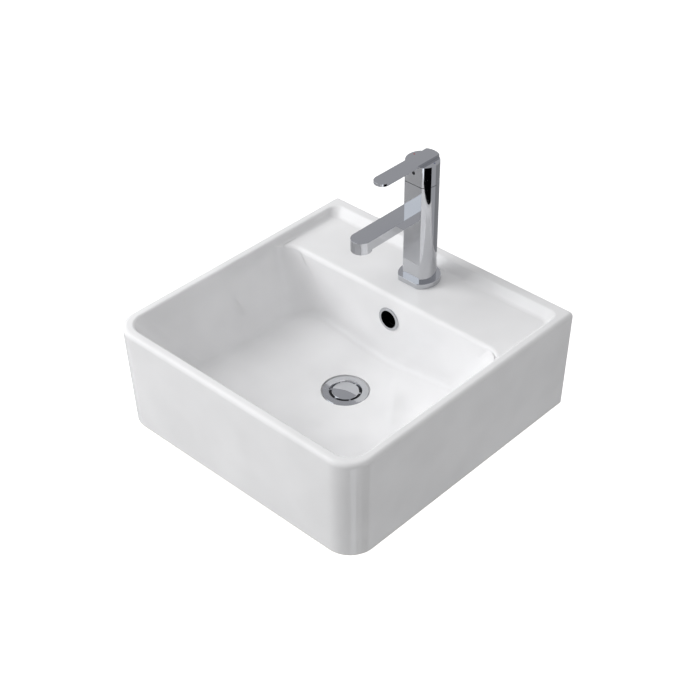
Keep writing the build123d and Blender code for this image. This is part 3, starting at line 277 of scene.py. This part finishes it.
def turned_brass():
    """Brass turned on a lathe: warm metal with a fine ring for each pass of the tool, dulled in patches."""
    material, tree = start_finish("turned_brass")
    place = add(tree, "NewGeometry").outputs["Position"]
    axes = add(tree, "SeparateXYZ", {0: place}).outputs
    dull = add(tree, "TexNoise", {"Vector": place, "Scale": patches(8.0), "Detail": 3.0}).outputs[0]
    tint = add(tree, "Mix", {0: dull, 6: linear("A5854A"), 7: linear("C9AC6E")}, data_type="RGBA").outputs[2]
    haze = add(tree, "MapRange", {0: dull, 1: 0.3, 2: 0.7, 3: 0.36, 4: 0.24}).outputs[0]
    # The passes are about 0.2 mm apart, drawn at 0.5 mm to show
    rings = add(tree, "TexNoise", {
        "W": axes["Z"],
        "Scale": patches(0.5),
        "Detail": 1.0,
    }, noise_dimensions="1D").outputs[0]
    surface = add(tree, "Bump", {"Height": rings, "Distance": 0.06 * MM, "Strength": 0.6}).outputs[0]
    shader = add(tree, "BsdfPrincipled", {
        "Base Color": tint,
        "Roughness": haze,
        "Metallic": 1.0,
        "Normal": surface,
    })
    add(tree, "OutputMaterial", {"Surface": shader.outputs[0]})
    return material


def threaded_steel():
    """Stainless steel rod with a rolled M8 thread of 1.25 mm pitch, its crests painted lighter as highlight
    and its roots painted darker as shade.
    """
    material, tree = start_finish("rolled_thread_stainless_steel")
    place = add(tree, "NewGeometry").outputs["Position"]
    crest = add(tree, "TexWave", {
        "Vector": place,
        "Scale": ridges(1.25),
        "Distortion": 0.0,
    }, bands_direction="Z").outputs["Fac"]
    # Painted highlight and shade: the colour is lighter on the thread's crests and darker in its roots
    tint = add(tree, "Mix", {0: crest, 6: linear("7E8082"), 7: linear("BFC1C3")}, data_type="RGBA").outputs[2]
    haze = add(tree, "MapRange", {0: crest, 3: 0.42, 4: 0.24}).outputs[0]
    surface = add(tree, "Bump", {"Height": crest, "Distance": 0.7 * MM, "Strength": 0.9}).outputs[0]
    shader = add(tree, "BsdfPrincipled", {
        "Base Color": tint,
        "Roughness": haze,
        "Metallic": 1.0,
        "Normal": surface,
    })
    add(tree, "OutputMaterial", {"Surface": shader.outputs[0]})
    return material


def rolled_steel():
    """Rolled and drawn stainless steel: satin grey with drawing lines along one direction."""
    material, tree = start_finish("rolled_stainless_steel")
    place = add(tree, "NewGeometry").outputs["Position"]
    # The lines are about 0.1 mm apart, drawn at 0.4 mm to show
    stretched = add(tree, "Mapping", {"Vector": place, "Scale": (0.04, 1, 1)}).outputs[0]
    lines = add(tree, "TexNoise", {"Vector": stretched, "Scale": patches(0.4), "Detail": 2.0}).outputs[0]
    tint = add(tree, "Mix", {0: lines, 6: linear("A2A4A6"), 7: linear("C2C4C6")}, data_type="RGBA").outputs[2]
    haze = add(tree, "MapRange", {0: lines, 1: 0.3, 2: 0.7, 3: 0.26, 4: 0.4}).outputs[0]
    surface = add(tree, "Bump", {"Height": lines, "Distance": 0.03 * MM, "Strength": 0.5}).outputs[0]
    shader = add(tree, "BsdfPrincipled", {
        "Base Color": tint,
        "Roughness": haze,
        "Metallic": 1.0,
        "Normal": surface,
    })
    add(tree, "OutputMaterial", {"Surface": shader.outputs[0]})
    return material


def moulded_rubber():
    """Black rubber from a warm mould: matt, with a grey bloom in patches and the mould's fine grain."""
    material, tree = start_finish("moulded_black_rubber")
    place = add(tree, "NewGeometry").outputs["Position"]
    bloom = add(tree, "TexNoise", {"Vector": place, "Scale": patches(6.0), "Detail": 4.0}).outputs[0]
    bloom = add(tree, "MapRange", {0: bloom, 1: 0.45, 2: 0.75}).outputs[0]
    tint = add(tree, "Mix", {0: bloom, 6: linear("18181A"), 7: linear("2C2C2E")}, data_type="RGBA").outputs[2]
    haze = add(tree, "MapRange", {0: bloom, 3: 0.55, 4: 0.75}).outputs[0]
    grain = add(tree, "TexNoise", {"Vector": place, "Scale": patches(0.5), "Detail": 2.0}).outputs[0]
    surface = add(tree, "Bump", {"Height": grain, "Distance": 0.05 * MM, "Strength": 0.6}).outputs[0]
    shader = add(tree, "BsdfPrincipled", {
        "Base Color": tint,
        "Roughness": haze,
        "IOR": 1.5,
        "Normal": surface,
    })
    add(tree, "OutputMaterial", {"Surface": shader.outputs[0]})
    return material


def moulded_plastic(name, low_colour, high_colour, flow_mm, spark_mm):
    """An injection moulded plastic: soft sheen, flow marks that shift its colour a little, and the fine
    spark-eroded grain of the mould."""
    material, tree = start_finish(name)
    low = linear(low_colour)
    high = linear(high_colour)
    place = add(tree, "NewGeometry").outputs["Position"]
    drawn_out = add(tree, "Mapping", {"Vector": place, "Scale": (1, 1, 0.35)}).outputs[0]
    flow = add(tree, "TexNoise", {
        "Vector": drawn_out,
        "Scale": patches(flow_mm),
        "Distortion": 0.6,
    }).outputs[0]
    tint = add(tree, "Mix", {0: flow, 6: low, 7: high}, data_type="RGBA").outputs[2]
    spark = add(tree, "TexVoronoi", {"Vector": place, "Scale": patches(spark_mm)}).outputs["Distance"]
    haze = add(tree, "MapRange", {0: spark, 3: 0.36, 4: 0.5}).outputs[0]
    surface = add(tree, "Bump", {"Height": spark, "Distance": 0.02 * MM, "Strength": 0.5}).outputs[0]
    shader = add(tree, "BsdfPrincipled", {
        "Base Color": tint,
        "Roughness": haze,
        "IOR": 1.48,
        "Normal": surface,
    })
    add(tree, "OutputMaterial", {"Surface": shader.outputs[0]})
    return material


def lapped_alumina():
    """Alumina disc, fired and lapped flat: cream white and satin, with pores of the fired grain."""
    material, tree = start_finish("lapped_alumina")
    place = add(tree, "NewGeometry").outputs["Position"]
    pores = add(tree, "TexVoronoi", {"Vector": place, "Scale": patches(0.4)}).outputs["Distance"]
    pores = add(tree, "MapRange", {0: pores, 1: 0.05, 2: 0.25}).outputs[0]
    tint = add(tree, "Mix", {0: pores, 6: linear("D2CDC2"), 7: linear("ECE9E2")}, data_type="RGBA").outputs[2]
    haze = add(tree, "MapRange", {0: pores, 3: 0.45, 4: 0.2}).outputs[0]
    shader = add(tree, "BsdfPrincipled", {"Base Color": tint, "Roughness": haze, "IOR": 1.77})
    add(tree, "OutputMaterial", {"Surface": shader.outputs[0]})
    return material


def enamel_dot(name, thin_colour, thick_colour):
    """Stoved enamel that fills a small dot: glossy, darker where it lies thick."""
    material, tree = start_finish(name)
    thin = linear(thin_colour)
    thick = linear(thick_colour)
    place = add(tree, "NewGeometry").outputs["Position"]
    depth = add(tree, "TexNoise", {"Vector": place, "Scale": patches(1.2), "Detail": 1.0}).outputs[0]
    tint = add(tree, "Mix", {0: depth, 6: thin, 7: thick}, data_type="RGBA").outputs[2]
    surface = add(tree, "Bump", {"Height": depth, "Distance": 0.05 * MM, "Strength": 0.4}).outputs[0]
    shader = add(tree, "BsdfPrincipled", {
        "Base Color": tint,
        "Roughness": 0.15,
        "IOR": 1.5,
        "Normal": surface,
    })
    add(tree, "OutputMaterial", {"Surface": shader.outputs[0]})
    return material


finish_of_slot = {
    "glaze": sprayed_glaze(),
    "chrome": buffed_chrome(),
    "brass": turned_brass(),
    "steel": rolled_steel(),
    "black_rubber": moulded_rubber(),
    "white_plastic": moulded_plastic("moulded_white_nylon", "D8D7D2", "E6E5E1", 14.0, 0.6),
    "black_plastic": moulded_plastic("moulded_black_acetal", "19191B", "232326", 9.0, 0.5),
    "grey_plastic": moulded_plastic("moulded_grey_acetal", "8F9194", "A2A4A6", 9.0, 0.5),
    "disc_ceramic": lapped_alumina(),
    "red_mark": enamel_dot("red_stoved_enamel", "B23A33", "9A2B26"),
    "blue_mark": enamel_dot("blue_stoved_enamel", "2A4373", "1B2E57"),
}
finish_of_node = {
    "overflow_ring": plated_overflow_ring(),
    "waste_body": plated_waste(),
    "fixing_stud": threaded_steel(),
}
slot_of_node = {entry["node"]: entry["material_slot"] for entry in frame["record"]["subparts"]}
for name, node in nodes.items():
    node.data.materials.clear()
    node.data.materials.append(finish_of_node.get(name) or finish_of_slot[slot_of_node[name]])

# Floor, at the distance below the rim at which such a basin is hung. The camera sees its paint and shadow
# lifted to white, and chrome mirrors it as the grey of a studio.
white = (1, 1, 1, 1)
studio_grey = linear("B4B5B9")
rim_above_floor = 850.0
floor_level = (rim_level - rim_above_floor) * MM
floor_size = 9.0
bpy.ops.mesh.primitive_plane_add(size=floor_size, location=(0, 0, floor_level))
floor = bpy.context.object
floor.name = "studio_floor"
floor_paint, tree = start_finish("painted_studio_floor")
rays = add(tree, "LightPath").outputs
paint = add(tree, "BsdfDiffuse", {"Color": linear("E6E6E6")}).outputs[0]
lift = add(tree, "Emission", {"Color": white, "Strength": 0.66}).outputs[0]
lifted_paint = add(tree, "AddShader", {0: paint, 1: lift}).outputs[0]
in_mirror = add(tree, "Emission", {"Color": studio_grey, "Strength": 1.0}).outputs[0]
seen = add(tree, "MixShader", {0: rays["Is Glossy Ray"], 1: paint, 2: in_mirror}).outputs[0]
seen = add(tree, "MixShader", {0: rays["Is Camera Ray"], 1: seen, 2: lifted_paint}).outputs[0]
# From below the floor is clear, so that the basin's underside can be looked at
from_below = add(tree, "NewGeometry").outputs["Backfacing"]
clear = add(tree, "BsdfTransparent").outputs[0]
seen = add(tree, "MixShader", {0: from_below, 1: seen, 2: clear}).outputs[0]
add(tree, "OutputMaterial", {"Surface": seen})
floor.data.materials.append(floor_paint)

# World: white behind the object, soft light from all sides, and the same grey in mirrors
world = bpy.data.worlds.new("studio")
bpy.context.scene.world = world
world.use_nodes = True
tree = world.node_tree
tree.nodes.clear()
rays = add(tree, "LightPath").outputs
backdrop = add(tree, "Background", {"Color": white, "Strength": 1.0}).outputs[0]
mirrored = add(tree, "Background", {"Color": studio_grey, "Strength": 1.0}).outputs[0]
ambient = add(tree, "Background", {"Color": white, "Strength": 0.47}).outputs[0]
seen = add(tree, "MixShader", {0: rays["Is Glossy Ray"], 1: ambient, 2: mirrored}).outputs[0]
seen = add(tree, "MixShader", {0: rays["Is Camera Ray"], 1: seen, 2: backdrop}).outputs[0]
add(tree, "OutputWorld", {"Surface": seen})


def softbox(name, place, target, side, watts):
    """A square studio lamp that points at a place on the object and isn't mirrored by it."""
    lamp = bpy.data.lights.new(name, "AREA")
    lamp.shape = "SQUARE"
    lamp.size = side
    lamp.energy = watts
    stand = bpy.data.objects.new(name, lamp)
    bpy.context.scene.collection.objects.link(stand)
    stand.location = place
    aim = Vector(target) - Vector(place)
    stand.rotation_euler = aim.to_track_quat("-Z", "Y").to_euler()
    stand.visible_glossy = False


basin_middle = (0.0, -0.21, 0.0)
softbox("key_softbox", (-1.78, -1.73, 1.53), basin_middle, side=1.6, watts=53.0)
softbox("top_softbox", (-0.2, -0.2, 2.4), basin_middle, side=1.6, watts=7.4)


def card(name, corners, colour, brightness):
    """A studio card that only mirrors see: it shapes the chrome's reflections and lights nothing."""
    mesh = bpy.data.meshes.new(name)
    mesh.from_pydata(corners, [], [(0, 1, 2, 3)])
    board = bpy.data.objects.new(name, mesh)
    bpy.context.scene.collection.objects.link(board)
    paper, tree = start_finish(name + "_paper")
    light = add(tree, "Emission", {"Color": linear(colour), "Strength": brightness}).outputs[0]
    add(tree, "OutputMaterial", {"Surface": light})
    mesh.materials.append(paper)
    board.visible_camera = False
    board.visible_diffuse = False
    board.visible_transmission = False
    board.visible_shadow = False


def standing(start, end, low, high):
    """The corners of an upright card over a line on the floor plan."""
    return [(*start, low), (*end, low), (*end, high), (*start, high)]


# Near cards, which give the tap its black, white and grey bands from the photograph's side
near_foot = -0.79
card("black_card", standing((0.418, -0.404), (1.05, 0.18), near_foot, -0.08), "050507", 1.0)
card("white_card", standing((0.564, -0.779), (0.721, -0.626), near_foot, -0.2), "F4F8FF", 1.5)
card("dim_card", standing((0.45, 0.45), (-0.9, 0.45), near_foot, 0.0), "909194", 1.0)

# Far cards near the horizon, which the tap mirrors when it is seen from the side, the front or the back
far_foot = -0.5
far_head = 0.9
card("left_card", standing((-2.4, -1.5), (-2.4, 0.1), far_foot, far_head), "F4F6FA", 1.3)
card("right_card", standing((2.4, -0.5), (2.4, 0.3), far_foot, far_head), "F4F6FA", 1.3)
card("front_card", standing((-0.5, -3.0), (0.1, -3.0), far_foot, 1.1), "F4F6FA", 1.3)
card("back_card", standing((-0.7, 2.4), (0.3, 2.4), far_foot, far_head), "F4F6FA", 1.2)

# Pale card beside the key softbox, square to the line from the tap's foot
tap_foot = Vector((0.0, -0.06, 0.06))
to_card = Vector((-0.543, -0.580, 0.608)).normalized()
across = to_card.cross(Vector((0, 0, 1))).normalized()
rise = across.cross(to_card)
card_distance = 2.85
card_half_side = 1.0
card_centre = tap_foot + card_distance * to_card
pale_corners = [
    card_centre + card_half_side * (a * across + b * rise)
    for a, b in ((-1, -1), (1, -1), (1, 1), (-1, 1))
]
card("pale_card", pale_corners, "F3F8FD", 1.5)

# Camera, at the place, turn and lens that fit the photograph's perspective
camera_place = (1.06909, -1.33967, 1.1938)
azimuth = radians(43.1)
elevation = radians(37.413)
roll = radians(-0.265)
camera_data = bpy.data.cameras.new("camera")
camera_data.lens = 77.45
camera_data.sensor_width = 36.0
camera_data.clip_end = 20.0
camera = bpy.data.objects.new("camera", camera_data)
bpy.context.scene.collection.objects.link(camera)
back = Vector((sin(azimuth) * cos(elevation), -cos(azimuth) * cos(elevation), sin(elevation)))
level = Vector((cos(azimuth), sin(azimuth), 0.0))
upward = back.cross(level)
right = cos(roll) * level + sin(roll) * upward
up = cos(roll) * upward - sin(roll) * level
turn = Matrix((right, up, back)).transposed()
camera.matrix_world = Matrix.Translation(camera_place) @ turn.to_4x4()
bpy.context.scene.camera = camera
bpy.context.scene.view_settings.view_transform = "Standard"
